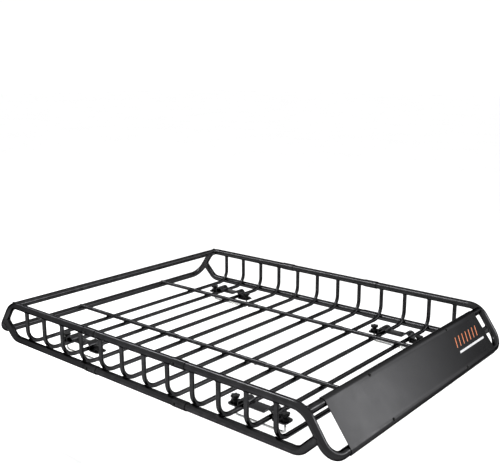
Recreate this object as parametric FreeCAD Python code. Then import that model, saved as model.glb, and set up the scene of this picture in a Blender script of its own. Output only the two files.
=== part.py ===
"""Roof cargo basket: a welded tube tray in three slip-jointed sections, with a front air
deflector and four crossbar clamps.

Units are millimetres. +X points to the front (the deflector end), +Y to the left side and
+Z up. The origin is at the centre of the overall box, on the plane that the U-bolt bottoms
rest on. Heights marked "above the floor" count from the centreline of the floor tubes.
"""
import FreeCAD
import Part
import math
import os

Vector = FreeCAD.Vector

# ---- Driving dimensions -------------------------------------------------------------------
RIB_PITCH = 88.0            # spacing of the cross ribs along X
RIBS_PER_SECTION = 4
SECTIONS = ("rear", "middle", "front")
RAIL_RADIUS = 11.1          # 7/8 inch rail tube
RAIL_WALL = 1.2
RIB_RADIUS = 6.35           # 1/2 inch rib tube
RIB_WALL = 1.0
HALF_WIDTH = 458.0          # centreline of the side rails from the middle plane
SIDE_HEIGHT = 108.5         # top rail centreline above the floor
WELD_GAP = 0.02             # left between the surfaces of two welded tubes

# End frames, measured from the end rib outwards and from the floor upwards
LEG_TOP_OUT = 78.5          # corner where the top rail turns down into the leg
LEG_FOOT_OUT = 150.5        # corner where the leg turns in to become the low end bar
LOW_BAR_HEIGHT = 4.5
LEG_TOP_BEND = 58.0         # centreline bend radii
LEG_FOOT_BEND = 44.0
REAR_BAR_OUT = 66.5         # straight bar between the top rails, rear
REAR_BAR_HEIGHT = 106.8
FRONT_BAR_OUT = 80.0        # straight bar behind the deflector's top edge
FRONT_BAR_HEIGHT = 97.9
RISE_OUT = 66.5             # corner where the lower rail turns up at 45 degrees
RISE_BEND = 42.0

# Slip joints between sections: the socket belongs to the section behind the joint
SOCKET_START = 280.0        # from the first rib of a section
SOCKET_END = 334.0
SOCKET_FLARE = 9.0
SPIGOT_START = -62.0        # where the next section's plain tube begins
SLIP_GAP = 0.08
JOINT_SCREW_AT = 298.0

# Lengthwise floor tubes lie on top of the ribs
FLOOR_TUBE_RIGHT = -146.0
FLOOR_TUBE_LEFT = 244.0

# Air deflector: one folded sheet
SHEET = 1.5
DEFLECTOR_HALF_WIDTH = 396.0
TOP_WRAP_END = 140.0        # end angles of the rolled edges, from +X towards +Z
FOOT_WRAP_END = -60.0
DEFLECTOR_SCREW_Y = 208.0

# Crossbar clamps
CLAMP_RIGHT_Y = -352.0
CLAMP_LEFT_Y = 334.0
CLAMP_RIB_GAPS = (1.5, 9.5)  # middles between the clamped ribs, in pitches from the first rib
CLAMP_SLACK = -2.6          # the clamps stand this far from those middles, within their slack
U_BOLT_RADIUS = 3.0
U_BOLT_HALF_SPAN = 80.0
U_BOLT_DROP = 37.0          # centreline of the U-bolt's bottom run below the floor
U_BOLT_BEND = 9.0
PLATE_WIDTH = 39.0
PLATE_THICKNESS = 3.0
PLATE_CORNER = 12.0
PLATE_END_OUT = 15.0        # plate past the U-bolt's legs
TAB_TOP = -4.0              # top faces above the floor: end tabs, bridge and humps
BRIDGE_TOP = 8.0
HUMP_TOP = 20.5
HUMP_RADIUS = 14.5          # outside
HUMP_OUT = 42.0             # hump middles from the bracket's middle
SLIDING_GAP = 0.1
KNOB_HEIGHT = 20.0
KNOB_HEAD_RADIUS = 13.0
KNOB_HEAD_HEIGHT = 10.5
KNOB_WAIST_RADIUS = 6.5
KNOB_FLANGE_RADIUS = 13.8
KNOB_FLANGE_HEIGHT = 5.5
KNOB_BORE_DEPTH = 17.0
KNOB_LOBES = 6
KNOB_HEAD_TAPER = 4.5        # height of the underside that narrows to the waist
KNOB_SCALLOP = 0.36          # scallop radius as a share of the disc radius

# Button-head screws
SCREW_HEAD_RADIUS = 4.4
SCREW_HEAD_HEIGHT = 2.1
SCREW_SHANK_RADIUS = 2.5
SCREW_SOCKET_RADIUS = 1.7
SCREW_SOCKET_DEPTH = 1.3

# ---- Derived places -----------------------------------------------------------------------
FLOOR = U_BOLT_DROP + U_BOLT_RADIUS
RIB_COUNT = RIBS_PER_SECTION * len(SECTIONS)
END_RIB = RIB_PITCH * (RIB_COUNT - 1) / 2.0
TOP_RAIL_Z = FLOOR + SIDE_HEIGHT
LOW_BAR_Z = FLOOR + LOW_BAR_HEIGHT
FLOOR_TUBE_Z = FLOOR + 2.0 * RIB_RADIUS + WELD_GAP
LEG_TOP_X = END_RIB + LEG_TOP_OUT
LOW_BAR_X = END_RIB + LEG_FOOT_OUT
# The rib's corner nests round the lower rail, touching it at 45 degrees.
RIB_BEND = (RAIL_RADIUS + RIB_RADIUS + WELD_GAP) / (math.sqrt(2.0) - 1.0)
SIDES = (("right", -1), ("left", 1))


def section_start(index):
    """X of the first rib of a section."""
    return -END_RIB + index * RIBS_PER_SECTION * RIB_PITCH


# ---- Basic shapes -------------------------------------------------------------------------
def rounded_path(points, radii):
    """Wire of straight runs through the points, with a tangent arc at each inner point."""
    edges = []
    run_start = points[0]
    for corner, before, after, radius in zip(points[1:-1], points, points[2:], radii):
        back = (before - corner).normalize()
        ahead = (after - corner).normalize()
        half_angle = back.getAngle(ahead) / 2.0
        cut = radius / math.tan(half_angle)
        inward = (back + ahead).normalize()
        centre = corner + inward * (radius / math.sin(half_angle))
        arc_start = corner + back * cut
        arc_end = corner + ahead * cut
        edges.append(Part.LineSegment(run_start, arc_start).toShape())
        edges.append(Part.Arc(arc_start, centre - inward * radius, arc_end).toShape())
        run_start = arc_end
    edges.append(Part.LineSegment(run_start, points[-1]).toShape())
    return Part.Wire(edges)


def swept_rod(points, radii, radius):
    """Solid round bar along a rounded path."""
    path = rounded_path(points, radii)
    ring = Part.Wire([Part.makeCircle(radius, points[0], points[1] - points[0])])
    return path.makePipeShell([ring], True, False)


def swept_tube(points, radii, radius, wall):
    return swept_rod(points, radii, radius).cut(swept_rod(points, radii, radius - wall))


def rod(start, end, radius):
    return Part.makeCylinder(radius, (end - start).Length, start, end - start)


def tube(start, end, radius, wall):
    return rod(start, end, radius).cut(rod(start, end, radius - wall))


def socket(x_flare, x_mouth, y, z, radius, wall):
    """Swaged socket along +X that slips over a tube of the given radius."""
    inside = radius + SLIP_GAP
    x_full = x_flare + SOCKET_FLARE
    outline = [
        Vector(x_flare, 0, radius - wall),
        Vector(x_flare, 0, radius),
        Vector(x_full, 0, inside + wall),
        Vector(x_mouth, 0, inside + wall),
        Vector(x_mouth, 0, inside),
        Vector(x_full, 0, inside),
    ]
    face = Part.Face(Part.makePolygon(outline + outline[:1]))
    ring = face.revolve(Vector(0, 0, 0), Vector(1, 0, 0), 360)
    ring.translate(Vector(0, y, z))
    return ring


def largest_solid(shape):
    """The main solid of a cut shape, without any sliver left past the cut."""
    return max(shape.Solids, key=lambda solid: solid.Volume)


def coped(shape, *tools):
    """Cut a tube's ends to the outside of the tubes it is welded to."""
    for tool in tools:
        shape = shape.cut(tool)
    return largest_solid(shape)


def fused(shapes):
    return largest_solid(shapes[0].fuse(shapes[1:]).removeSplitter())


# ---- Frame --------------------------------------------------------------------------------
def loop_points(direction, x_inner):
    """Centreline of an end loop: side rail, leg, low end bar, leg, side rail."""
    return [
        Vector(x_inner, -HALF_WIDTH, TOP_RAIL_Z),
        Vector(direction * LEG_TOP_X, -HALF_WIDTH, TOP_RAIL_Z),
        Vector(direction * LOW_BAR_X, -HALF_WIDTH, LOW_BAR_Z),
        Vector(direction * LOW_BAR_X, HALF_WIDTH, LOW_BAR_Z),
        Vector(direction * LEG_TOP_X, HALF_WIDTH, TOP_RAIL_Z),
        Vector(x_inner, HALF_WIDTH, TOP_RAIL_Z),
    ]


LOOP_BENDS = (LEG_TOP_BEND, LEG_FOOT_BEND, LEG_FOOT_BEND, LEG_TOP_BEND)


def loop_cope(direction):
    """Outside of an end loop, for coping the tubes that are welded to it."""
    points = loop_points(direction, direction * END_RIB)
    return swept_rod(points, LOOP_BENDS, RAIL_RADIUS + WELD_GAP)


def end_loop(direction, screw_holes):
    """Bent tube that is the top rails, legs and low bar of one end section."""
    if direction < 0:
        x_inner = section_start(0) + SOCKET_START
    else:
        x_inner = section_start(2) + SPIGOT_START
    points = loop_points(direction, x_inner)
    parts = [swept_tube(points, LOOP_BENDS, RAIL_RADIUS, RAIL_WALL)]
    if direction < 0:
        for _, side in SIDES:
            parts.append(section_socket(0, side * HALF_WIDTH, TOP_RAIL_Z, RAIL_RADIUS, RAIL_WALL))
    return largest_solid(fused(parts).cut(screw_holes))


def section_socket(index, y, z, radius, wall):
    start = section_start(index)
    return socket(start + SOCKET_START, start + SOCKET_END, y, z, radius, wall)


def lower_rail_points(direction, x_inner, y):
    """Lower side rail: level along the floor, then up at 45 degrees to the leg."""
    rise_x = END_RIB + RISE_OUT
    lean = (LOW_BAR_X - LEG_TOP_X) / (TOP_RAIL_Z - LOW_BAR_Z)
    # Height above the floor where the 45 degree run meets the leg's centreline
    meet = (LEG_TOP_X + lean * SIDE_HEIGHT - rise_x) / (1.0 + lean)
    return [
        Vector(x_inner, y, FLOOR),
        Vector(direction * rise_x, y, FLOOR),
        Vector(direction * (rise_x + meet), y, FLOOR + meet),
    ]


def lower_rail(index, side, copes, screw_holes):
    y = side * HALF_WIDTH
    start = section_start(index)
    if index == 1:
        parts = [tube(Vector(start + SPIGOT_START, y, FLOOR), Vector(start + SOCKET_START, y, FLOOR),
                      RAIL_RADIUS, RAIL_WALL)]
    else:
        direction = -1 if index == 0 else 1
        x_inner = start + (SOCKET_START if index == 0 else SPIGOT_START)
        points = lower_rail_points(direction, x_inner, y)
        bent = swept_tube(points, (RISE_BEND,), RAIL_RADIUS, RAIL_WALL)
        parts = [coped(bent, copes[direction])]
    if index < 2:
        parts.append(section_socket(index, y, FLOOR, RAIL_RADIUS, RAIL_WALL))
    return largest_solid(fused(parts).cut(screw_holes))


def middle_top_rail(side, screw_holes):
    y = side * HALF_WIDTH
    start = section_start(1)
    straight = tube(Vector(start + SPIGOT_START, y, TOP_RAIL_Z),
                    Vector(start + SOCKET_START, y, TOP_RAIL_Z), RAIL_RADIUS, RAIL_WALL)
    mouth = section_socket(1, y, TOP_RAIL_Z, RAIL_RADIUS, RAIL_WALL)
    return largest_solid(fused([straight, mouth]).cut(screw_holes))


def floor_tube(index, y, copes, screw_holes):
    """Lengthwise tube on top of the ribs, from end bar to end bar in three sections."""
    start = section_start(index)
    x_low = -LOW_BAR_X if index == 0 else start + SPIGOT_START
    x_high = LOW_BAR_X if index == 2 else start + SOCKET_START
    straight = tube(Vector(x_low, y, FLOOR_TUBE_Z), Vector(x_high, y, FLOOR_TUBE_Z),
                    RIB_RADIUS, RIB_WALL)
    if index != 1:
        straight = coped(straight, copes[-1 if index == 0 else 1])
    parts = [straight]
    if index < 2:
        parts.append(section_socket(index, y, FLOOR_TUBE_Z, RIB_RADIUS, RIB_WALL))
    return largest_solid(fused(parts).cut(screw_holes))


def rib(x):
    """U-shaped rib: up one side, across the floor and up the other side."""
    points = [
        Vector(x, -HALF_WIDTH, TOP_RAIL_Z),
        Vector(x, -HALF_WIDTH, FLOOR),
        Vector(x, HALF_WIDTH, FLOOR),
        Vector(x, HALF_WIDTH, TOP_RAIL_Z),
    ]
    bent = swept_tube(points, (RIB_BEND, RIB_BEND), RIB_RADIUS, RIB_WALL)
    reach = Vector(2.0 * RAIL_RADIUS, 0, 0)
    rails = []
    for _, side in SIDES:
        centre = Vector(x, side * HALF_WIDTH, TOP_RAIL_Z)
        rails.append(rod(centre - reach, centre + reach, RAIL_RADIUS + WELD_GAP))
    return coped(bent, *rails)


def cross_bar(x, z, cope):
    straight = tube(Vector(x, -HALF_WIDTH, z), Vector(x, HALF_WIDTH, z), RAIL_RADIUS, RAIL_WALL)
    return coped(straight, cope)


# ---- Air deflector ------------------------------------------------------------------------
def deflector_frame():
    """Centres of the two bars that the sheet lies on, and the angle of the sheet's normal."""
    top = Vector(END_RIB + FRONT_BAR_OUT, 0, FLOOR + FRONT_BAR_HEIGHT)
    foot = Vector(LOW_BAR_X, 0, LOW_BAR_Z)
    run = foot - top
    return top, foot, math.degrees(math.atan2(run.x, -run.z))


def on_circle(centre, radius, degrees):
    angle = math.radians(degrees)
    return centre + Vector(radius * math.cos(angle), 0, radius * math.sin(angle))


def deflector(screw_holes):
    """Sheet that lies flat across both bars and rolls round each of them at its edges."""
    top, foot, normal = deflector_frame()
    inner = RAIL_RADIUS + WELD_GAP
    outer = inner + SHEET
    top_middle = (TOP_WRAP_END + normal) / 2.0
    foot_middle = (FOOT_WRAP_END + normal) / 2.0
    edges = []
    for radius in (inner, outer):
        edges.append(Part.Arc(on_circle(top, radius, TOP_WRAP_END),
                              on_circle(top, radius, top_middle),
                              on_circle(top, radius, normal)).toShape())
        edges.append(Part.LineSegment(on_circle(top, radius, normal),
                                      on_circle(foot, radius, normal)).toShape())
        edges.append(Part.Arc(on_circle(foot, radius, normal),
                              on_circle(foot, radius, foot_middle),
                              on_circle(foot, radius, FOOT_WRAP_END)).toShape())
    for centre, angle in ((top, TOP_WRAP_END), (foot, FOOT_WRAP_END)):
        edges.append(Part.LineSegment(on_circle(centre, inner, angle),
                                      on_circle(centre, outer, angle)).toShape())
    profile = Part.Face(Part.Wire(Part.__sortEdges__(edges)))
    profile.translate(Vector(0, -DEFLECTOR_HALF_WIDTH, 0))
    sheet = profile.extrude(Vector(0, 2.0 * DEFLECTOR_HALF_WIDTH, 0))
    return largest_solid(sheet.cut(screw_holes))


# ---- Screws -------------------------------------------------------------------------------
def button_screw(seat, inward, shank_length):
    """Button-head screw with its head on the seat point and its shank along inward."""
    head = Part.makeCylinder(SCREW_HEAD_RADIUS, SCREW_HEAD_HEIGHT, seat, -inward)
    crown = max(head.Edges, key=lambda edge: -(edge.CenterOfMass - seat).dot(inward))
    head = head.makeFillet(SCREW_HEAD_HEIGHT * 0.7, [crown])
    recess_top = seat - inward * (SCREW_HEAD_HEIGHT + 1.0)
    recess = Part.makeCylinder(SCREW_SOCKET_RADIUS, SCREW_SOCKET_DEPTH + 1.0, recess_top, inward)
    shank = Part.makeCylinder(SCREW_SHANK_RADIUS, shank_length, seat, inward)
    return fused([head, shank]).cut(recess)


def screw_set(seats, inward_of, shank_length):
    """Screws and the clearance holes that they need, for a list of seat points."""
    screws = []
    holes = []
    for seat in seats:
        inward = inward_of(seat)
        screws.append(button_screw(seat, inward, shank_length))
        holes.append(Part.makeCylinder(SCREW_SHANK_RADIUS + SLIDING_GAP, shank_length + 2.0,
                                       seat - inward, inward))
    return Part.makeCompound(screws), Part.makeCompound(holes)


def joint_screws():
    """One screw through each slip joint: outboard on the rails, from below on the floor."""
    rail_seat = RAIL_RADIUS + SLIP_GAP + RAIL_WALL
    floor_seat = RIB_RADIUS + SLIP_GAP + RIB_WALL
    seats = []
    for index in (0, 1):
        x = section_start(index) + JOINT_SCREW_AT
        for _, side in SIDES:
            for z in (FLOOR, TOP_RAIL_Z):
                seats.append(Vector(x, side * (HALF_WIDTH + rail_seat), z))
        for y in (FLOOR_TUBE_RIGHT, FLOOR_TUBE_LEFT):
            seats.append(Vector(x, y, FLOOR_TUBE_Z - floor_seat))

    def inward_of(seat):
        if abs(seat.y) > HALF_WIDTH:
            return Vector(0, -math.copysign(1.0, seat.y), 0)
        return Vector(0, 0, 1)

    return screw_set(seats, inward_of, 2.0 * RIB_RADIUS)


def deflector_screws():
    """Screws through the sheet into the top bar and the low bar."""
    top, foot, normal = deflector_frame()
    reach = RAIL_RADIUS + WELD_GAP + SHEET
    outward = on_circle(Vector(0, 0, 0), 1.0, normal)
    seats = []
    for centre in (top, foot):
        for y in (-DEFLECTOR_SCREW_Y, DEFLECTOR_SCREW_Y):
            seats.append(centre + outward * reach + Vector(0, y, 0))
    return screw_set(seats, lambda seat: -outward, RAIL_RADIUS)


# ---- Crossbar clamps ----------------------------------------------------------------------
def plate_block(x_first, x_second, y, z_low, z_high):
    """Block across the bracket's width; the two X values come in either order."""
    x_low, x_high = sorted((x_first, x_second))
    return Part.makeBox(x_high - x_low, PLATE_WIDTH, z_high - z_low,
                        Vector(x_low, y - PLATE_WIDTH / 2.0, z_low))


def end_tab(x_inner, x_end, y):
    """Level end of the bracket, with its two outer corners rounded."""
    z_top = FLOOR + TAB_TOP
    tab = plate_block(x_inner, x_end, y, z_top - PLATE_THICKNESS, z_top)
    corners = [edge for edge in tab.Edges
               if edge.BoundBox.ZLength > 1.0 and abs(edge.CenterOfMass.x - x_end) < 0.1]
    return tab.makeFillet(PLATE_CORNER, corners)


def clamp_bracket(x, y):
    """Pressed plate: a hump over each of two ribs, a bridge between them and an end tab
    with a U-bolt hole outside each of them."""
    across = Vector(0, PLATE_WIDTH + 2.0, 0)
    inner = HUMP_RADIUS - PLATE_THICKNESS
    hump_z = FLOOR + HUMP_TOP - HUMP_RADIUS
    bridge_top = FLOOR + BRIDGE_TOP
    bridge_low = bridge_top - PLATE_THICKNESS
    tab_low = FLOOR + TAB_TOP - PLATE_THICKNESS
    parts = [plate_block(x - HUMP_OUT, x + HUMP_OUT, y, bridge_low, bridge_top)]
    openings = []
    for _, side in SIDES:
        middle = x + side * HUMP_OUT
        end = x + side * (U_BOLT_HALF_SPAN + PLATE_END_OUT)
        start = Vector(middle, y - PLATE_WIDTH / 2.0, hump_z)
        parts.append(Part.makeCylinder(HUMP_RADIUS, PLATE_WIDTH, start, across))
        parts.append(plate_block(middle - side * HUMP_RADIUS, middle, y, bridge_low, hump_z))
        parts.append(plate_block(middle, middle + side * HUMP_RADIUS, y, tab_low, hump_z))
        parts.append(end_tab(middle + side * inner, end, y))
        openings.append(Part.makeCylinder(inner, across.Length, start - Vector(0, 1, 0), across))
        openings.append(Part.makeBox(2.0 * inner, across.Length, 2.0 * HUMP_RADIUS,
                                     Vector(middle - inner, start.y - 1.0, hump_z - 2.0 * HUMP_RADIUS)))
        openings.append(Part.makeCylinder(U_BOLT_RADIUS + SLIDING_GAP, 4.0 * PLATE_THICKNESS,
                                          Vector(x + side * U_BOLT_HALF_SPAN, y,
                                                 tab_low - PLATE_THICKNESS)))
    return largest_solid(fused(parts).cut(openings).removeSplitter())


def u_bolt(x, y):
    z_top = FLOOR + TAB_TOP + KNOB_BORE_DEPTH - 1.0
    z_run = FLOOR - U_BOLT_DROP
    points = [
        Vector(x - U_BOLT_HALF_SPAN, y, z_top),
        Vector(x - U_BOLT_HALF_SPAN, y, z_run),
        Vector(x + U_BOLT_HALF_SPAN, y, z_run),
        Vector(x + U_BOLT_HALF_SPAN, y, z_top),
    ]
    return swept_rod(points, (U_BOLT_BEND, U_BOLT_BEND), U_BOLT_RADIUS)


def lobed_disc(centre, radius, height, taper=0.0):
    """Disc with a ring of scallops cut from its rim; its underside can taper to the waist."""
    blank = Part.makeCylinder(radius, height - taper, centre + Vector(0, 0, taper))
    if taper > 0.0:
        blank = blank.fuse(Part.makeCone(KNOB_WAIST_RADIUS, radius, taper, centre))
    scallops = []
    for lobe in range(KNOB_LOBES):
        angle = math.radians(360.0 * (lobe + 0.5) / KNOB_LOBES)
        place = centre + Vector(math.cos(angle), math.sin(angle), 0) * (radius * 1.1)
        scallops.append(Part.makeCylinder(radius * KNOB_SCALLOP, height + 2.0, place - Vector(0, 0, 1)))
    return blank.cut(scallops)


def knob(x, y):
    """Star knob on a U-bolt leg: lobed head, narrow waist and lobed foot flange."""
    base = Vector(x, y, FLOOR + TAB_TOP + WELD_GAP)
    foot = lobed_disc(base, KNOB_FLANGE_RADIUS, KNOB_FLANGE_HEIGHT)
    waist = Part.makeCylinder(KNOB_WAIST_RADIUS, KNOB_HEIGHT - 1.0, base)
    head = lobed_disc(base + Vector(0, 0, KNOB_HEIGHT - KNOB_HEAD_HEIGHT), KNOB_HEAD_RADIUS,
                      KNOB_HEAD_HEIGHT, KNOB_HEAD_TAPER)
    bore = Part.makeCylinder(U_BOLT_RADIUS + SLIDING_GAP, KNOB_BORE_DEPTH + 1.0,
                             base - Vector(0, 0, 1))
    return fused([foot, waist, head]).cut(bore)


# ---- Assembly -----------------------------------------------------------------------------
def build_nodes():
    nodes = {}
    copes = {-1: loop_cope(-1), 1: loop_cope(1)}
    nodes["joint_screws"], joint_holes = joint_screws()
    nodes["deflector_screws"], sheet_holes = deflector_screws()
    nodes["rear_loop"] = end_loop(-1, joint_holes)
    nodes["front_loop"] = largest_solid(end_loop(1, joint_holes).cut(sheet_holes))
    nodes["rear_top_bar"] = cross_bar(-(END_RIB + REAR_BAR_OUT), FLOOR + REAR_BAR_HEIGHT, copes[-1])
    front_bar = cross_bar(END_RIB + FRONT_BAR_OUT, FLOOR + FRONT_BAR_HEIGHT, copes[1])
    nodes["front_top_bar"] = largest_solid(front_bar.cut(sheet_holes))
    nodes["deflector"] = deflector(sheet_holes)
    for side_name, side in SIDES:
        nodes["middle_top_rail_" + side_name] = middle_top_rail(side, joint_holes)
        for index, section in enumerate(SECTIONS):
            name = section + "_lower_rail_" + side_name
            nodes[name] = lower_rail(index, side, copes, joint_holes)
    for side_name, y in (("right", FLOOR_TUBE_RIGHT), ("left", FLOOR_TUBE_LEFT)):
        for index, section in enumerate(SECTIONS):
            name = section + "_floor_tube_" + side_name
            nodes[name] = floor_tube(index, y, copes, joint_holes)
    for number in range(RIB_COUNT):
        nodes["rib_%02d" % (number + 1)] = rib(-END_RIB + number * RIB_PITCH)
    for end_name, gap in zip(("rear", "front"), CLAMP_RIB_GAPS):
        x = -END_RIB + gap * RIB_PITCH + CLAMP_SLACK
        for side_name, y in (("right", CLAMP_RIGHT_Y), ("left", CLAMP_LEFT_Y)):
            place = end_name + "_" + side_name
            nodes["clamp_bracket_" + place] = clamp_bracket(x, y)
            nodes["u_bolt_" + place] = u_bolt(x, y)
            nodes["knob_a_" + place] = knob(x - U_BOLT_HALF_SPAN, y)
            nodes["knob_b_" + place] = knob(x + U_BOLT_HALF_SPAN, y)
    return nodes


def main():
    os.makedirs("parts", exist_ok=True)
    for name, shape in build_nodes().items():
        shape.exportStep("parts/%s.step" % name)
        box = shape.BoundBox
        print("%-30s solids %2d valid %s volume %10.1f x %.1f..%.1f y %.1f..%.1f z %.1f..%.1f" % (
            name, len(shape.Solids), shape.isValid(), shape.Volume,
            box.XMin, box.XMax, box.YMin, box.YMax, box.ZMin, box.ZMax))


main()
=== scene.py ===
"""Roof cargo basket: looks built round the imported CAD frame. Metres, same frame as the CAD."""
import math

import bmesh
import bpy
from mathutils import Matrix, Vector


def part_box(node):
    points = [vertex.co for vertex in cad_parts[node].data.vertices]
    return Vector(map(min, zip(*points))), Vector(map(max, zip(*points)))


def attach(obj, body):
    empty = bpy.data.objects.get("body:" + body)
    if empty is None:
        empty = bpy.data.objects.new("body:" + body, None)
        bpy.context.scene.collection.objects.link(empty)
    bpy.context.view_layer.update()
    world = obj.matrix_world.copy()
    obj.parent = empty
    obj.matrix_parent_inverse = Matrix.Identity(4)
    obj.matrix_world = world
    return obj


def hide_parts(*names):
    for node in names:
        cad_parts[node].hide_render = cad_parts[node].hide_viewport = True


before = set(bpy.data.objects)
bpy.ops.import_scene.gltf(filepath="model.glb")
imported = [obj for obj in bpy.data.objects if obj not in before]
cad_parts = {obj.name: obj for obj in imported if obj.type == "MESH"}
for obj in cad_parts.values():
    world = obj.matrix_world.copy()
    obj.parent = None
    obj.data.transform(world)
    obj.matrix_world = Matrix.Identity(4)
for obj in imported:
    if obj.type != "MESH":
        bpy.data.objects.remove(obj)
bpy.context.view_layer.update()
MM = 0.001

# Sizes follow the CAD model. The weld beads, threads, rounded edges and printed mark are only here.

# ---- Tube frame sizes -----------------------------------------------------------------------
RIB_COUNT = 12
RIBS_PER_SECTION = 4
RIB_RADIUS = 6.35 * MM
RAIL_RADIUS = 11.1 * MM
RAIL_WALL = 1.2 * MM
RIB_WALL = 1.0 * MM
SLIP_GAP = 0.08 * MM
LEG_TOP_OUT = 78.5 * MM
LEG_FOOT_OUT = 150.5 * MM
LOW_BAR_HEIGHT = 4.5 * MM
LEG_TOP_BEND = 58.0 * MM
LEG_FOOT_BEND = 44.0 * MM
RISE_OUT = 66.5 * MM
FRONT_BAR_OUT = 80.0 * MM
FRONT_BAR_HEIGHT = 97.9 * MM
REAR_BAR_OUT = 66.5 * MM
REAR_BAR_HEIGHT = 106.8 * MM
# Slip joint places, ahead of the first rib of the section behind the joint
JOINT_SCREW_AT = 298.0 * MM
SOCKET_MOUTH_AT = 334.0 * MM

# ---- Air deflector sizes --------------------------------------------------------------------
SHEET = 1.5 * MM
SHEET_GAP = 0.02 * MM
SHEET_CORNER = 5.0 * MM
SHEET_EDGE = 0.5 * MM
TOP_WRAP_END = math.radians(140.0)
FOOT_WRAP_END = math.radians(-60.0)
DEFLECTOR_SCREW_Y = 208.0 * MM
DEFLECTOR_HOLE = 2.7 * MM

# ---- Printed mark: rows are distances down the sheet from the top bar -----------------------
DECAL_START = 210.0 * MM
DECAL_LENGTH = 160.0 * MM
DECAL_BARS = 7
DECAL_PITCH = 22.0 * MM
DECAL_BAR_WIDTH = 4.0 * MM
DECAL_BAR_ROWS = (31.0 * MM, 59.0 * MM)
DECAL_BAR_SLANT = 14.0 * MM
DECAL_BASE_ROWS = (70.0 * MM, 76.0 * MM)
DECAL_BASE_SLANT = 3.0 * MM
DECAL_LIFTS = (0.01 * MM, 0.07 * MM)

# ---- Crossbar clamp sizes -------------------------------------------------------------------
ROD_RADIUS = 3.0 * MM
U_BOLT_BEND = 9.0 * MM
BARE_LEG = 17.0 * MM
THREAD_PITCH = 1.0 * MM
THREAD_DEPTH = 0.5 * MM
THREAD_STEP = 0.25 * MM
PLATE_THICKNESS = 3.0 * MM
PLATE_CORNER = 12.0 * MM
PLATE_EDGE = 0.8 * MM
PLATE_FOLD = 2.2 * MM
ROD_CLEARANCE = 0.1 * MM
TAB_TOP = -4.0 * MM
BRIDGE_TOP = 8.0 * MM
HUMP_TOP = 20.5 * MM
HUMP_RADIUS = 14.5 * MM
HUMP_OUT = 42.0 * MM
KNOB_LOBES = 6
KNOB_BORE = 3.15 * MM
KNOB_BORE_DEPTH = 16.8 * MM
# Radius and centre distance of a scallop, in units of the knob's radius
KNOB_SCALLOP = 0.36
KNOB_SCALLOP_OUT = 1.1

# ---- Weld beads: radii ----------------------------------------------------------------------
RIB_BEAD = 1.5 * MM
END_BEAD = 1.7 * MM
FLOOR_TUBE_BEAD = 1.2 * MM

CLAMPS = ("rear_right", "rear_left", "front_right", "front_left")
SIDES = (-1, 1)


def middle(node):
    low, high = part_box(node)
    return (Vector(low) + Vector(high)) / 2.0


# ---- Places read from the CAD boxes ---------------------------------------------------------
RIB_X = [middle("rib_%02d" % number).x for number in range(1, RIB_COUNT + 1)]
END_RIB = RIB_X[-1]
TOP_RAIL = middle("middle_top_rail_left")
LOW_RAIL = middle("middle_lower_rail_left")
FLOOR_TUBES = (middle("middle_floor_tube_right"), middle("middle_floor_tube_left"))
HALF_WIDTH = TOP_RAIL.y
FLOOR = LOW_RAIL.z

# ---- Look -----------------------------------------------------------------------------------
COAT_BLACK = (0.025, 0.025, 0.026)
SHEET_BLACK = (0.032, 0.032, 0.033)
# Share of its full brightness that the coat keeps at a grazing angle
COAT_GRAZING = 0.33
PLATE_GRAZING = 0.60
KNOB_BLACK = (0.004, 0.004, 0.0042)
ZINC_GREY = (0.40, 0.41, 0.42)
FLOOR_PALE = (0.95, 0.95, 0.95)
DECAL_ORANGE = (0.60, 0.14, 0.02)
DECAL_WHITE = (0.55, 0.55, 0.56)

# ---- Camera and light -----------------------------------------------------------------------
CAMERA_PLACE = Vector((1.4265, -1.6710, 0.8640))
CAMERA_FORWARD = Vector((-0.62782, 0.74831, -0.21417))
CAMERA_LENS = 53.28
CAMERA_SHIFT = (-0.001, 0.001)
STAGE_HEIGHT = -0.25


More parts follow.
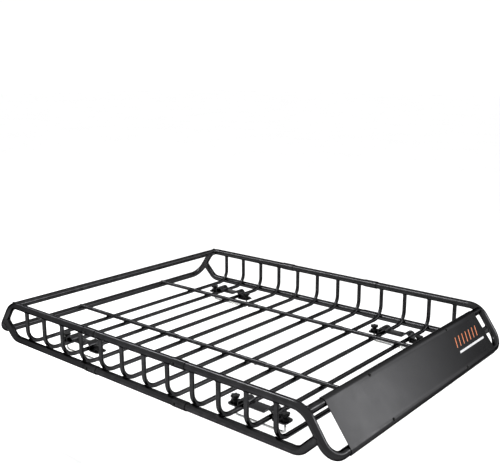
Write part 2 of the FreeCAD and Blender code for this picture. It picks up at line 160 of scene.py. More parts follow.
# ---- Node helpers ---------------------------------------------------------------------------
class NodeMaterial:
    """A principled material with short calls for adding and linking nodes."""

    def __init__(self, name):
        self.material = bpy.data.materials.new(name)
        self.material.use_nodes = True
        self.tree = self.material.node_tree
        self.shader = self.tree.nodes["Principled BSDF"]
        coordinates = self.tree.nodes.new("ShaderNodeTexCoord")
        self.place = coordinates.outputs["Object"]

    def noise(self, scale, detail):
        node = self.tree.nodes.new("ShaderNodeTexNoise")
        node.inputs["Scale"].default_value = scale
        node.inputs["Detail"].default_value = detail
        node.inputs["Roughness"].default_value = 0.55
        self.tree.links.new(self.place, node.inputs["Vector"])
        return node.outputs["Fac"]

    def ramp(self, factor, low, high, start=0.0, end=1.0):
        """Map a factor from start..end onto low..high, which are numbers."""
        node = self.tree.nodes.new("ShaderNodeMapRange")
        node.inputs["From Min"].default_value = start
        node.inputs["From Max"].default_value = end
        node.inputs["To Min"].default_value = low
        node.inputs["To Max"].default_value = high
        self.tree.links.new(factor, node.inputs["Value"])
        return node.outputs["Result"]

    def colours(self, factor, low, high, start=0.0, end=1.0):
        node = self.tree.nodes.new("ShaderNodeValToRGB")
        node.color_ramp.elements[0].position = start
        node.color_ramp.elements[0].color = (*low, 1.0)
        node.color_ramp.elements[1].position = end
        node.color_ramp.elements[1].color = (*high, 1.0)
        self.tree.links.new(factor, node.inputs["Fac"])
        return node.outputs["Color"]

    def mix(self, factor, first, second):
        """Blend two colours by a factor; each colour is a socket or three numbers."""
        node = self.tree.nodes.new("ShaderNodeMix")
        node.data_type = "RGBA"
        sockets = [socket for socket in node.inputs if socket.type == "RGBA"]
        for socket, value in zip(sockets, (first, second)):
            if isinstance(value, tuple):
                socket.default_value = (*value, 1.0)
            else:
                self.tree.links.new(value, socket)
        self.tree.links.new(factor, node.inputs[0])
        return [socket for socket in node.outputs if socket.type == "RGBA"][0]

    def math(self, operation, first, second):
        node = self.tree.nodes.new("ShaderNodeMath")
        node.operation = operation
        for socket, value in zip(node.inputs, (first, second)):
            if isinstance(value, float):
                socket.default_value = value
            else:
                self.tree.links.new(value, socket)
        return node.outputs[0]

    def bump(self, height, distance, strength=1.0, before=None):
        node = self.tree.nodes.new("ShaderNodeBump")
        node.inputs["Distance"].default_value = distance
        node.inputs["Strength"].default_value = strength
        self.tree.links.new(height, node.inputs["Height"])
        if before is not None:
            self.tree.links.new(before, node.inputs["Normal"])
        return node.outputs["Normal"]

    def edge_wear(self, low, high):
        """0 on flat surfaces and 1 on convex edges."""
        node = self.tree.nodes.new("ShaderNodeNewGeometry")
        return self.ramp(node.outputs["Pointiness"], 0.0, 1.0, low, high)

    def set(self, name, value):
        socket = self.shader.inputs[name]
        if isinstance(value, (int, float)):
            socket.default_value = value
        elif isinstance(value, tuple):
            socket.default_value = (*value, 1.0)
        else:
            self.tree.links.new(value, socket)


# ---- Materials ------------------------------------------------------------------------------
def powder_coat(name, roughness=(0.17, 0.24), peel=0.00008, tone=COAT_BLACK, spread=1.3,
                grazing=COAT_GRAZING):
    """Satin black coat: dark mirror-like skin, fine orange peel, faint dust and rubbed edges."""
    look = NodeMaterial(name)
    dust = look.noise(7.0, 5.0)
    grain = look.noise(2600.0, 2.0)
    peel_height = look.noise(620.0, 2.0)
    base = look.colours(dust, tone, tuple(spread * value for value in tone), 0.40, 0.75)
    rubbed = look.ramp(look.noise(55.0, 4.0), 0.0, 0.5, 0.45, 0.70)
    worn = look.math("MULTIPLY", look.edge_wear(0.53, 0.60), rubbed)
    look.set("Base Color", look.mix(worn, base, (0.06, 0.06, 0.062)))
    look.set("Metallic", 1.0)
    look.set("Specular Tint", (grazing, grazing, grazing))
    look.set("Roughness", look.ramp(look.noise(24.0, 6.0), roughness[0], roughness[1], 0.3, 0.7))
    look.set("Normal", look.bump(grain, 0.00002, 0.6, look.bump(peel_height, peel)))
    return look.material


def zinc_plate():
    """Zinc plating: cool grey with patches of a faint yellow tint and a fine grain."""
    look = NodeMaterial("zinc_plate")
    tint = look.noise(40.0, 4.0)
    look.set("Base Color", look.colours(tint, ZINC_GREY, (0.46, 0.45, 0.41), 0.35, 0.75))
    look.set("Metallic", 1.0)
    look.set("Specular Tint", (0.05, 0.05, 0.05))
    look.set("Roughness", look.ramp(look.noise(180.0, 5.0), 0.18, 0.36, 0.3, 0.7))
    look.set("Normal", look.bump(look.noise(900.0, 3.0), 0.00003, 0.5))
    return look.material


def moulded_plastic():
    """Matte black glass-filled nylon with a fine moulded grain."""
    look = NodeMaterial("moulded_plastic")
    tint = look.noise(90.0, 4.0)
    look.set("Base Color", look.colours(tint, KNOB_BLACK, (0.008, 0.008, 0.0085), 0.35, 0.75))
    look.set("Specular IOR Level", 0.08)
    look.set("Roughness", look.ramp(look.noise(260.0, 3.0), 0.42, 0.58, 0.3, 0.7))
    look.set("Normal", look.bump(look.noise(1900.0, 2.0), 0.00005, 0.7))
    return look.material


def black_oxide():
    """Screws: dark blackened steel, with slightly paler edges."""
    look = NodeMaterial("black_oxide")
    worn = look.edge_wear(0.54, 0.64)
    look.set("Base Color", look.mix(worn, (0.005, 0.005, 0.0052), (0.02, 0.02, 0.02)))
    look.set("Metallic", 0.6)
    look.set("Specular IOR Level", 0.15)
    look.set("Roughness", look.ramp(look.noise(300.0, 3.0), 0.40, 0.52, 0.3, 0.7))
    return look.material


def gap_shade_paint():
    """Painted shade for the mouths of the slip joints: near-black, mottled and matte."""
    look = NodeMaterial("gap_shade_paint")
    shade_mottle = look.noise(200.0, 4.0)
    # Near-black painted shade, mottled a little
    look.set("Base Color", look.colours(shade_mottle, (0.002, 0.002, 0.002), (0.006, 0.006, 0.006), 0.3, 0.7))
    look.set("Roughness", look.ramp(look.noise(400.0, 3.0), 0.6, 0.8, 0.3, 0.7))
    look.set("Specular IOR Level", 0.1)
    return look.material


def printed(name, colour):
    """Screen-printed ink: satin, with slight patchiness and a fine grain."""
    look = NodeMaterial(name)
    faded = tuple(0.8 * value for value in colour)
    look.set("Base Color", look.colours(look.noise(120.0, 5.0), faded, colour, 0.3, 0.6))
    look.set("Roughness", look.ramp(look.noise(300.0, 3.0), 0.40, 0.55, 0.3, 0.7))
    look.set("Normal", look.bump(look.noise(1500.0, 2.0), 0.00002, 0.5))
    return look.material


def pale_floor():
    look = NodeMaterial("pale_floor")
    low = tuple(0.985 * value for value in FLOOR_PALE)
    look.set("Base Color", look.colours(look.noise(1.5, 2.0), low, FLOOR_PALE, 0.3, 0.7))
    look.set("Roughness", 0.9)
    return look.material


def dress(node_name, material):
    """Give a CAD node one material."""
    for material_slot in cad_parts[node_name].material_slots:
        material_slot.material = material


# ---- Mesh helpers ---------------------------------------------------------------------------
TURN_STEP = math.radians(7.5)


def rounded_route(corners, bends):
    """Points along straight runs through the corners, with a tangent arc at each inner one."""
    route = [corners[0]]
    for before, corner, after, radius in zip(corners, corners[1:], corners[2:], bends):
        back = (before - corner).normalized()
        ahead = (after - corner).normalized()
        half_angle = back.angle(ahead) / 2.0
        centre = corner + (back + ahead).normalized() * (radius / math.sin(half_angle))
        spoke = corner + back * (radius / math.tan(half_angle)) - centre
        axis = spoke.cross(-back).normalized()
        turn = math.pi - 2.0 * half_angle
        steps = math.ceil(turn / TURN_STEP)
        for step in range(steps + 1):
            route.append(centre + Matrix.Rotation(turn * step / steps, 3, axis) @ spoke)
    route.append(corners[-1])
    return route


def divided(start, end, count):
    return [start.lerp(end, step / count) for step in range(count + 1)]


def section_frames(route, closed=False):
    """A pair of section directions at each point, carried along the route without twist."""
    count = len(route)
    frames = []
    side = None
    for index, point in enumerate(route):
        before = route[index - 1] if index or closed else point
        after = route[(index + 1) % count] if closed or index + 1 < count else point
        along = (after - before).normalized()
        if side is None:
            side = along.orthogonal()
        side = (side - along * side.dot(along)).normalized()
        frames.append((side.copy(), along.cross(side)))
    return frames


class MeshMaker:
    """Collects the rings and faces of one piece."""

    def __init__(self):
        self.vertices = []
        self.faces = []

    def ring(self, points):
        start = len(self.vertices)
        self.vertices.extend(points)
        return list(range(start, start + len(points)))

    def bridge(self, first, second):
        count = len(first)
        for index in range(count):
            following = (index + 1) % count
            self.faces.append((first[index], first[following], second[following], second[index]))

    def skin(self, rings, closed=False):
        """Join a list of rings of points into a tube, which is closed on itself or capped."""
        placed = [self.ring(points) for points in rings]
        for first, second in zip(placed, placed[1:]):
            self.bridge(first, second)
        if closed:
            self.bridge(placed[-1], placed[0])
        else:
            self.faces.append(tuple(reversed(placed[0])))
            self.faces.append(tuple(placed[-1]))

    def sweep(self, route, radius_at, sides, closed=False):
        """Round section along a route; radius_at gets the point's number and the angle."""
        rings = []
        for index, (point, (side, up)) in enumerate(zip(route, section_frames(route, closed))):
            ring = []
            for step in range(sides):
                angle = math.tau * step / sides
                spoke = side * math.cos(angle) + up * math.sin(angle)
                ring.append(point + spoke * radius_at(index, angle))
            rings.append(ring)
        self.skin(rings, closed)

    def finish(self, name, material, body, replaced=(), sharp=40.0):
        mesh = bpy.data.meshes.new(name)
        mesh.from_pydata(self.vertices, [], self.faces)
        mesh.materials.append(material)
        shape = bmesh.new()
        shape.from_mesh(mesh)
        bmesh.ops.recalc_face_normals(shape, faces=shape.faces)
        shape.to_mesh(mesh)
        shape.free()
        mesh.shade_smooth()
        mesh.set_sharp_from_angle(angle=math.radians(sharp))
        piece = bpy.data.objects.new(name, mesh)
        bpy.context.scene.collection.objects.link(piece)
        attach(piece, body)
        if replaced:
            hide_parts(*replaced)
        return piece


# ---- Welds ----------------------------------------------------------------------------------
def distance_to_route(point, route):
    nearest = math.inf
    for start, end in zip(route, route[1:]):
        run = end - start
        along = max(0.0, min(1.0, (point - start).dot(run) / run.length_squared))
        nearest = min(nearest, (point - start - run * along).length)
    return nearest


def seam(start, towards, radius, host, host_radius, reach, count):
    """Closed line where a tube that starts at start and goes towards a host meets its outside."""
    side = towards.orthogonal().normalized()
    up = towards.cross(side)
    line = []
    for step in range(count):
        angle = math.tau * step / count
        foot = start + (side * math.cos(angle) + up * math.sin(angle)) * radius
        near, far = 0.0, reach
        for _ in range(16):
            half = (near + far) / 2.0
            if distance_to_route(foot + towards * half, host) > host_radius:
                near = half
            else:
                far = half
        line.append(foot + towards * near)
    return line


def bead(maker, line, size, closed, phase):
    """Weld bead along a line, as a row of overlapping puddles."""
    count = len(line)

    def radius_at(index, angle):
        ripple = 0.10 * math.sin(index * math.tau / 4.0 + phase)
        ripple += 0.07 * math.sin(index * 0.9 + 2.1 * phase)
        end = 1.0 if closed else 0.55 + 0.45 * math.sin(math.pi * index / (count - 1))
        return size * end * (1.0 + ripple)

    maker.sweep(line, radius_at, 8, closed)


def loop_route(direction):
    """Centreline of an end loop from the end rib on one side to the end rib on the other."""
    leg_top = direction * (END_RIB + LEG_TOP_OUT)
    foot = direction * (END_RIB + LEG_FOOT_OUT)
    foot_z = FLOOR + LOW_BAR_HEIGHT
    corners = [
        Vector((direction * END_RIB, -HALF_WIDTH, TOP_RAIL.z)),
        Vector((leg_top, -HALF_WIDTH, TOP_RAIL.z)),
        Vector((foot, -HALF_WIDTH, foot_z)),
        Vector((foot, HALF_WIDTH, foot_z)),
        Vector((leg_top, HALF_WIDTH, TOP_RAIL.z)),
        Vector((direction * END_RIB, HALF_WIDTH, TOP_RAIL.z)),
    ]
    bends = (LEG_TOP_BEND, LEG_FOOT_BEND, LEG_FOOT_BEND, LEG_TOP_BEND)
    return rounded_route(corners, bends)


def rib_welds(material):
    tops = MeshMaker()
    corners = MeshMaker()
    crossings = MeshMaker()
    for number, x in enumerate(RIB_X):
        for side in SIDES:
            phase = 1.7 * number + side
            y = side * HALF_WIDTH
            rail = [Vector((x - 0.03, y, TOP_RAIL.z)), Vector((x + 0.03, y, TOP_RAIL.z))]
            start = Vector((x, y, TOP_RAIL.z - 0.03))
            line = seam(start, Vector((0, 0, 1)), RIB_RADIUS, rail, RAIL_RADIUS, 0.03, 72)
            bead(tops, line, RIB_BEAD, True, phase)
            # The rib's corner touches the lower rail at 45 degrees
            inward = Vector((0, -side, 1)).normalized()
            along = Vector((0, side, 1)).normalized()
            touch = Vector((x, y, FLOOR)) + inward * (RAIL_RADIUS - 0.2 * MM)
            for end in (-1, 1):
                centre = touch + Vector((end * 4.6 * MM, 0, 0))
                reach = along * 5.0 * MM
                bead(corners, divided(centre - reach, centre + reach, 20), RIB_BEAD, False, phase + end)
        for tube in FLOOR_TUBES:
            for side in (-1, 1):
                centre = Vector((x, tube.y + side * 3.9 * MM, FLOOR + RIB_RADIUS + 0.2 * MM))
                reach = Vector((4.2 * MM, 0, 0))
                bead(crossings, divided(centre - reach, centre + reach, 14), RIB_BEAD, False, number + side)
    tops.finish("rib_top_welds", material, "frame")
    corners.finish("rib_corner_welds", material, "frame")
    crossings.finish("floor_tube_welds", material, "frame")


def end_welds(material):
    """Welds of the top bars, lower rails and floor tubes on the two end loops."""
    maker = MeshMaker()
    lean = (LEG_FOOT_OUT - LEG_TOP_OUT) / (TOP_RAIL.z - FLOOR - LOW_BAR_HEIGHT)
    for direction, bar_out, bar_height in ((-1, REAR_BAR_OUT, REAR_BAR_HEIGHT),
                                           (1, FRONT_BAR_OUT, FRONT_BAR_HEIGHT)):
        loop = loop_route(direction)
        for side in SIDES:
            outward = Vector((0, side, 0))
            bar_x = direction * (END_RIB + bar_out)
            start = Vector((bar_x, side * (HALF_WIDTH - 0.04), FLOOR + bar_height))
            line = seam(start, outward, RAIL_RADIUS, loop, RAIL_RADIUS, 0.04, 144)
            bead(maker, line, END_BEAD, True, side + direction)
            rise = Vector((direction, 0, 1)).normalized()
            meet = (LEG_TOP_OUT + lean * (TOP_RAIL.z - FLOOR) - RISE_OUT) / (1.0 + lean)
            joint = Vector((direction * (END_RIB + RISE_OUT + meet), side * HALF_WIDTH, FLOOR + meet))
            line = seam(joint - rise * 0.05, rise, RAIL_RADIUS, loop, RAIL_RADIUS, 0.05, 144)
            bead(maker, line, END_BEAD, True, 2.0 * side + direction)
        for tube in FLOOR_TUBES:
            foot = direction * (END_RIB + LEG_FOOT_OUT)
            start = Vector((foot - direction * 0.03, tube.y, tube.z))
            line = seam(start, Vector((direction, 0, 0)), RIB_RADIUS, loop, RAIL_RADIUS, 0.03, 72)
            # The tube's crown passes over the bar, so the bead runs only below the bar's top
            crown = max(range(len(line)), key=lambda index: line[index].z)
            bar_top = FLOOR + LOW_BAR_HEIGHT + RAIL_RADIUS
            under = [point for point in line[crown:] + line[:crown] if point.z < bar_top - 0.4 * MM]
            bead(maker, under, FLOOR_TUBE_BEAD, False, direction + tube.y)
    maker.finish("end_frame_welds", material, "frame")


def joint_gaps(material):
    """Painted shade of the open gap at the mouth of each slip joint: a thin near-black ring against the
    socket's end.
    """
    maker = MeshMaker()
    for first_rib in (0, RIBS_PER_SECTION):
        mouth = RIB_X[first_rib] + SOCKET_MOUTH_AT
        tubes = [(Vector((mouth, side * HALF_WIDTH, z)), RAIL_RADIUS, RAIL_WALL)
                 for side in SIDES for z in (FLOOR, TOP_RAIL.z)]
        tubes += [(Vector((mouth, tube.y, tube.z)), RIB_RADIUS, RIB_WALL) for tube in FLOOR_TUBES]
        for centre, radius, wall in tubes:
            size = wall / 2.0
            ring = []
            for step in range(48):
                angle = math.tau * step / 48
                spoke = Vector((0, math.cos(angle), math.sin(angle))) * (radius + SLIP_GAP + size)
                ring.append(centre + Vector((size, 0, 0)) + spoke)
            maker.sweep(ring, lambda index, angle, size=size: size, 8, True)
    maker.finish("joint_gap_shade_rings", material, "frame")


# ---- Sheet pieces ---------------------------------------------------------------------------
def strip_section(half_width, half_thickness, edge):
    """Rounded rectangle of a sheet's cross-section, as (across, up) pairs."""
    steps = 3
    outline = []
    for quarter, (across, up) in enumerate(((1, 1), (-1, 1), (-1, -1), (1, -1))):
        for step in range(steps + 1):
            angle = math.radians(90.0) * (quarter + step / steps)
            outline.append((across * (half_width - edge) + edge * math.cos(angle),
                            up * (half_thickness - edge) + edge * math.sin(angle)))
    return outline


def strip(maker, midline, y, size_at, edge):
    """Sheet bent along a midline in the XZ plane, with rounded edges."""
    rings = []
    for index, point in enumerate(midline):
        before = midline[max(index - 1, 0)]
        after = midline[min(index + 1, len(midline) - 1)]
        along = (after - before).normalized()
        up = Vector((-along.z, 0, along.x))
        half_width, half_thickness = size_at(index)
        ring = []
        for across, height in strip_section(half_width, half_thickness, min(edge, 0.98 * half_thickness)):
            ring.append(point + Vector((0, y + across, 0)) + up * height)
        rings.append(ring)
    maker.skin(rings)


def arc_points(centre, radius, start, end, count):
    points = []
    for step in range(count + 1):
        angle = start + (end - start) * step / count
        points.append(centre + Vector((math.cos(angle), 0, math.sin(angle))) * radius)
    return points


def end_rounding(midline, half_width, thickness, corner, edge):
    """Half width and half thickness at each midline point, rounded towards both ends."""
    travelled = [0.0]
    for before, after in zip(midline, midline[1:]):
        travelled.append(travelled[-1] + (after - before).length)

    def at(index):
        distance = min(travelled[index], travelled[-1] - travelled[index])
        width = half_width
        if distance < corner:
            width -= corner - math.sqrt(corner ** 2 - (corner - distance) ** 2)
        half_thickness = thickness / 2.0
        if distance < edge:
            half_thickness -= edge - math.sqrt(edge ** 2 - (edge - distance) ** 2)
        return width, half_thickness

    return at


def drilled(piece, holes, depth):
    """Cut round holes through a piece; each hole is a centre, a direction and a radius."""
    cutter = MeshMaker()
    for centre, direction, radius in holes:
        run = direction.normalized() * depth
        cutter.sweep([centre - run, centre + run], lambda index, angle, size=radius: size, 32)
    mesh = bpy.data.meshes.new("cutter")
    mesh.from_pydata(cutter.vertices, [], cutter.faces)
    tool = bpy.data.objects.new("cutter", mesh)
    bpy.context.scene.collection.objects.link(tool)
    cut = piece.modifiers.new("holes", "BOOLEAN")
    cut.object = tool
    cut.solver = "EXACT"
    graph = bpy.context.evaluated_depsgraph_get()
    result = bpy.data.meshes.new_from_object(piece.evaluated_get(graph))
    result.name = piece.data.name
    piece.modifiers.clear()
    piece.data = result
    bpy.data.objects.remove(tool)


# ---- Air deflector --------------------------------------------------------------------------
def deflector_places():
    """Centres of the top bar and the low bar, and the direction the sheet faces."""
    top = Vector((END_RIB + FRONT_BAR_OUT, 0, FLOOR + FRONT_BAR_HEIGHT))
    foot = Vector((END_RIB + LEG_FOOT_OUT, 0, FLOOR + LOW_BAR_HEIGHT))
    run = foot - top
    return top, foot, math.atan2(run.x, -run.z)


def build_deflector(material):
    """The folded sheet, with rounded edges and its screw holes."""
    top, foot, facing = deflector_places()
    radius = RAIL_RADIUS + SHEET_GAP + SHEET / 2.0
    outward = Vector((math.cos(facing), 0, math.sin(facing)))
    midline = arc_points(top, radius, TOP_WRAP_END, facing, 60)
    midline += divided(top + outward * radius, foot + outward * radius, 14)[1:-1]
    midline += arc_points(foot, radius, facing, FOOT_WRAP_END, 60)
    low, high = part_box("deflector")
    half_width = (high.y - low.y) / 2.0
    size_at = end_rounding(midline, half_width, SHEET, SHEET_CORNER, SHEET_EDGE)
    maker = MeshMaker()
    strip(maker, midline, 0.0, size_at, SHEET_EDGE)
    sheet = maker.finish("deflector_sheet", material, "frame", ("deflector",))
    holes = []
    for centre in (top, foot):
        for side in (-1, 1):
            place = centre + outward * radius + Vector((0, side * DEFLECTOR_SCREW_Y, 0))
            holes.append((place, outward, DEFLECTOR_HOLE))
    drilled(sheet, holes, 3.0 * MM)


def build_decal(orange, white):
    """Plain printed mark on the sheet: a row of slanted bars above one long bar."""
    top, foot, facing = deflector_places()
    outward = Vector((math.cos(facing), 0, math.sin(facing)))
    down = (foot - top).normalized()
    face = RAIL_RADIUS + SHEET + SHEET_GAP

    def bar(maker, y, width, rows, slant):
        """Thin printed patch between two rows of the sheet, leaning by slant."""
        start, end = rows
        outline = ((y, end), (y + width, end), (y + width + slant, start), (y + slant, start))
        rings = []
        for lift in DECAL_LIFTS:
            rings.append([top + Vector((0, across, 0)) + down * distance + outward * (face + lift)
                          for across, distance in outline])
        maker.skin(rings)

    bars = MeshMaker()
    for number in range(DECAL_BARS):
        y = DECAL_START + number * DECAL_PITCH
        bar(bars, y, DECAL_BAR_WIDTH, DECAL_BAR_ROWS, DECAL_BAR_SLANT)
    bars.finish("decal_slanted_bars", orange, "frame")
    base = MeshMaker()
    bar(base, DECAL_START, DECAL_LENGTH, DECAL_BASE_ROWS, DECAL_BASE_SLANT)
    base.finish("decal_long_bar", white, "frame")


# ---- Screws ---------------------------------------------------------------------------------
def hex_factor(angle):
    """Radius of a hexagon in units of half its width across flats."""
    sixth = math.radians(60.0)
    return 1.0 / math.cos((angle + sixth / 2.0) % sixth - sixth / 2.0)


SCREW_PROFILE = (
    # height above the seat (mm), radius (mm), and 1 where the section is the hexagon socket
    (-10.0, 2.3, 0), (0.0, 2.4, 0), (0.0, 4.35, 0), (0.35, 4.4, 0), (0.9, 4.28, 0), (1.4, 3.9, 0),
    (1.8, 3.25, 0), (2.0, 2.5, 0), (2.05, 1.9, 0), (1.95, 1.42, 1), (0.9, 1.38, 1),
)


def button_screw(maker, seat, outward):
    side = outward.orthogonal().normalized()
    up = outward.cross(side)
    rings = []
    for height, radius, hexagonal in SCREW_PROFILE:
        ring = []
        for step in range(36):
            angle = math.tau * step / 36
            size = radius * MM * (hex_factor(angle) if hexagonal else 1.0)
            spoke = side * math.cos(angle) + up * math.sin(angle)
            ring.append(seat + outward * height * MM + spoke * size)
        rings.append(ring)
    maker.skin(rings)


def build_screws(material):
    joints = MeshMaker()
    rail_seat = RAIL_RADIUS + SLIP_GAP + RAIL_WALL
    floor_seat = RIB_RADIUS + SLIP_GAP + RIB_WALL
    for first_rib in (0, RIBS_PER_SECTION):
        x = RIB_X[first_rib] + JOINT_SCREW_AT
        for side in SIDES:
            for z in (FLOOR, TOP_RAIL.z):
                outward = Vector((0, side, 0))
                button_screw(joints, Vector((x, side * (HALF_WIDTH + rail_seat), z)), outward)
        for tube in FLOOR_TUBES:
            button_screw(joints, Vector((x, tube.y, tube.z - floor_seat)), Vector((0, 0, -1)))
    joints.finish("joint_button_screws", material, "frame", ("joint_screws",))
    sheet = MeshMaker()
    top, foot, facing = deflector_places()
    outward = Vector((math.cos(facing), 0, math.sin(facing)))
    for centre in (top, foot):
        for side in (-1, 1):
            seat = centre + outward * (RAIL_RADIUS + SHEET + SHEET_GAP)
            button_screw(sheet, seat + Vector((0, side * DEFLECTOR_SCREW_Y, 0)), outward)
    sheet.finish("sheet_button_screws", material, "frame", ("deflector_screws",))


# ---- Crossbar clamps ------------------------------------------------------------------------
def plate_midline(centre_x, half_length):
    """Middle of the plate's thickness: low end tabs, two humps and a raised bridge between."""
    tab = FLOOR + TAB_TOP - PLATE_THICKNESS / 2.0
    bridge = FLOOR + BRIDGE_TOP - PLATE_THICKNESS / 2.0
    crown = FLOOR + HUMP_TOP - HUMP_RADIUS
    arch = HUMP_RADIUS - PLATE_THICKNESS / 2.0
    fold = PLATE_FOLD
    # The fold into the bridge stands at its own radius above the bridge and that far from the arch
    rise = bridge + fold - crown
    spread = math.sqrt((arch + fold) ** 2 - rise ** 2)
    lean = math.atan2(rise, spread)
    half = []
    for step in range(17):
        inset = PLATE_CORNER * (1.0 - math.cos(math.radians(90.0) * step / 16))
        half.append(Vector((inset - half_length, 0, tab)))
    foot = Vector((-HUMP_OUT - arch - fold, 0, tab + fold))
    half += arc_points(foot, fold, math.radians(-90.0), 0.0, 8)
    half += arc_points(Vector((-HUMP_OUT, 0, crown)), arch, math.pi, lean, 36)
    inner = Vector((spread - HUMP_OUT, 0, bridge + fold))
    half += arc_points(inner, fold, math.pi + lean, math.radians(270.0), 8)[1:]
    mirrored = [Vector((-point.x, 0, point.z)) for point in reversed(half)]
    return [point + Vector((centre_x, 0, 0)) for point in half + mirrored]


def build_bracket(place, material):
    node = "clamp_bracket_" + place
    low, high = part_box(node)
    centre = middle(node)
    midline = plate_midline(centre.x, (high.x - low.x) / 2.0)
    half_width = (high.y - low.y) / 2.0
    size_at = end_rounding(midline, half_width, PLATE_THICKNESS, PLATE_CORNER, PLATE_EDGE)
    maker = MeshMaker()
    strip(maker, midline, centre.y, size_at, PLATE_EDGE)
    bracket = maker.finish("bracket_plate_" + place, material, "clamp_" + place, (node,))
    bolt = middle("u_bolt_" + place)
    bolt_low, bolt_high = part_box("u_bolt_" + place)
    tab = FLOOR + TAB_TOP - PLATE_THICKNESS / 2.0
    holes = []
    for x in (bolt_low.x + ROD_RADIUS, bolt_high.x - ROD_RADIUS):
        holes.append((Vector((x, bolt.y, tab)), Vector((0, 0, 1)), ROD_RADIUS + ROD_CLEARANCE))
    drilled(bracket, holes, 4.0 * MM)


def build_u_bolt(place, material):
    """Bent rod with rolled threads on both legs."""
    node = "u_bolt_" + place
    low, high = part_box(node)
    y = middle(node).y
    left = low.x + ROD_RADIUS
    right = high.x - ROD_RADIUS
    run_z = low.z + ROD_RADIUS
    thread_end = low.z + BARE_LEG
    corners = [Vector((left, y, thread_end)), Vector((left, y, run_z)),
               Vector((right, y, run_z)), Vector((right, y, thread_end))]
    bend = rounded_route(corners, (U_BOLT_BEND, U_BOLT_BEND))
    rings = int((high.z - thread_end) / THREAD_STEP)
    tip = high.z
    route = divided(Vector((left, y, tip)), corners[0], rings)[:-1] + bend
    route += divided(corners[-1], Vector((right, y, tip)), rings)[1:]

    def radius_at(index, angle):
        z = route[index].z
        size = ROD_RADIUS
        if z > thread_end:
            phase = (z / THREAD_PITCH + angle / math.tau) % 1.0
            depth = THREAD_DEPTH * min(1.0, (z - thread_end) / (1.5 * MM))
            size -= depth * abs(2.0 * phase - 1.0)
        return min(size, ROD_RADIUS - 0.7 * MM + (tip - z))

    maker = MeshMaker()
    maker.sweep(route, radius_at, 24)
    maker.finish("zinc_rod_" + place, material, node, (node,), sharp=60.0)


KNOB_PROFILE = (
    # height above the foot (mm), radius (mm), and how far the lobes show there, from 0 to 1
    (0.0, 3.2, 0.0), (0.0, 12.8, 1.0), (0.35, 13.45, 1.0), (1.0, 13.8, 1.0), (4.1, 13.8, 1.0),
    (5.0, 13.4, 1.0), (5.5, 12.5, 1.0), (5.7, 10.8, 0.9), (6.0, 8.9, 0.5), (6.6, 7.4, 0.2),
    (7.3, 6.5, 0.0), (9.5, 6.5, 0.0), (10.0, 7.3, 0.2), (12.0, 10.0, 0.8), (13.8, 12.4, 1.0),
    (14.6, 13.0, 1.0), (17.6, 13.0, 1.0), (18.8, 12.6, 1.0), (19.6, 11.6, 1.0),
    (19.95, 10.2, 0.9), (20.0, 8.6, 0.5), (19.9, 8.1, 0.0), (19.4, 7.8, 0.0), (19.35, 6.0, 0.0),
    (19.35, 2.4, 0.0), (19.5, 1.9, 0.0), (19.55, 0.8, 0.0),
)


def lobe_factor(angle):
    """Share of the full radius at an angle, scalloped between the lobes."""
    turn = math.tau / KNOB_LOBES
    offset = abs(angle % turn - turn / 2.0)
    across = KNOB_SCALLOP_OUT * math.sin(offset)
    if across >= KNOB_SCALLOP:
        return 1.0
    dip = KNOB_SCALLOP_OUT * math.cos(offset) - math.sqrt(KNOB_SCALLOP ** 2 - across ** 2)
    return min(1.0, dip)


def smooth_lobes(steps):
    """Lobe factors all round, with their corners rounded off."""
    factors = [lobe_factor(math.tau * step / steps) for step in range(steps)]
    for _ in range(3):
        factors = [(factors[step - 1] + 2.0 * factors[step] + factors[(step + 1) % steps]) / 4.0
                   for step in range(steps)]
    return factors


def build_knob(which, place, material):
    node = "knob_%s_%s" % (which, place)
    foot = middle(node)
    foot.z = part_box(node)[0].z
    steps = 96
    factors = smooth_lobes(steps)
    maker = MeshMaker()
    rings = []
    for height, radius, lobed in KNOB_PROFILE:
        ring = []
        for step, factor in enumerate(factors):
            angle = math.tau * step / steps
            size = radius * MM * (1.0 + lobed * (factor - 1.0))
            ring.append(foot + Vector((math.cos(angle) * size, math.sin(angle) * size, height * MM)))
        rings.append(ring)
    bore = []
    for height in (KNOB_BORE_DEPTH, 0.0):
        ring = []
        for step in range(steps):
            angle = math.tau * step / steps
            spoke = Vector((math.cos(angle), math.sin(angle), 0))
            ring.append(foot + spoke * KNOB_BORE + Vector((0, 0, height)))
        bore.append(ring)
    # The bore's lower ring takes the place of the profile's first one
    maker.skin(bore + rings[1:])
    maker.finish("star_knob_%s_%s" % (which, place), material, node, (node,))


# ---- Stage ----------------------------------------------------------------------------------
def add_camera():
    data = bpy.data.cameras.new("camera")
    data.lens = CAMERA_LENS
    data.sensor_width = 36.0
    data.shift_x, data.shift_y = CAMERA_SHIFT
    camera = bpy.data.objects.new("camera", data)
    camera.location = CAMERA_PLACE
    camera.rotation_mode = "QUATERNION"
    camera.rotation_quaternion = CAMERA_FORWARD.to_track_quat("-Z", "Y")
    bpy.context.scene.collection.objects.link(camera)
    bpy.context.scene.camera = camera


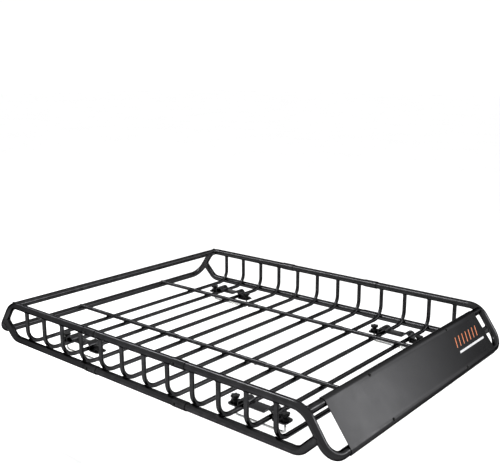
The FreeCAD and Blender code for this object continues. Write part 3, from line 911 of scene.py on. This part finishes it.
def add_area_light(name, place, target, size, power):
    data = bpy.data.lights.new(name, "AREA")
    data.shape = "RECTANGLE"
    data.size, data.size_y = size
    data.energy = power
    light = bpy.data.objects.new(name, data)
    light.location = place
    light.rotation_mode = "QUATERNION"
    light.rotation_quaternion = (Vector(target) - Vector(place)).to_track_quat("-Z", "Y")
    bpy.context.scene.collection.objects.link(light)


def add_stage():
    mesh = bpy.data.meshes.new("floor")
    reach = 30.0
    corners = [(-reach, -reach, STAGE_HEIGHT), (reach, -reach, STAGE_HEIGHT),
               (reach, reach, STAGE_HEIGHT), (-reach, reach, STAGE_HEIGHT)]
    mesh.from_pydata(corners, [], [(0, 1, 2, 3)])
    mesh.materials.append(pale_floor())
    floor = bpy.data.objects.new("floor", mesh)
    bpy.context.scene.collection.objects.link(floor)
    world = bpy.data.worlds.new("world")
    world.use_nodes = True
    world.node_tree.nodes["Background"].inputs["Color"].default_value = (1.0, 1.0, 1.0, 1.0)
    world.node_tree.nodes["Background"].inputs["Strength"].default_value = 1.06
    bpy.context.scene.world = world
    add_area_light("rail_strip", (-1.2, -0.33, 1.35), (-1.2, -0.33, 0.0), (2.4, 0.16), 40.0)
    add_area_light("front_left_box", (1.9, 2.1, 1.1), (0.0, 0.0, 0.1), (2.0, 0.8), 13.0)
    add_area_light("sheet_box", (2.0, 0.9, 0.95), (0.6, -0.3, 0.1), (0.8, 0.6), 13.0)
    bpy.context.scene.view_settings.view_transform = "Standard"


# ---- Build ----------------------------------------------------------------------------------
def main():
    add_camera()
    add_stage()
    coat = powder_coat("powder_coat")
    sheet_coat = powder_coat("sheet_coat", (0.36, 0.40), 0.00004, SHEET_BLACK, 1.1)
    plate_coat = powder_coat("plate_coat", grazing=PLATE_GRAZING)
    zinc = zinc_plate()
    plastic = moulded_plastic()
    oxide = black_oxide()
    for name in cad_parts:
        dress(name, coat)
    build_deflector(sheet_coat)
    build_decal(printed("orange_print", DECAL_ORANGE), printed("white_print", DECAL_WHITE))
    build_screws(oxide)
    for place in CLAMPS:
        build_bracket(place, plate_coat)
        build_u_bolt(place, zinc)
        for which in ("a", "b"):
            build_knob(which, place, plastic)
    rib_welds(coat)
    end_welds(coat)
    # The rings at the joint mouths carry painted shade in place of the dark gap
    joint_gaps(gap_shade_paint())


main()
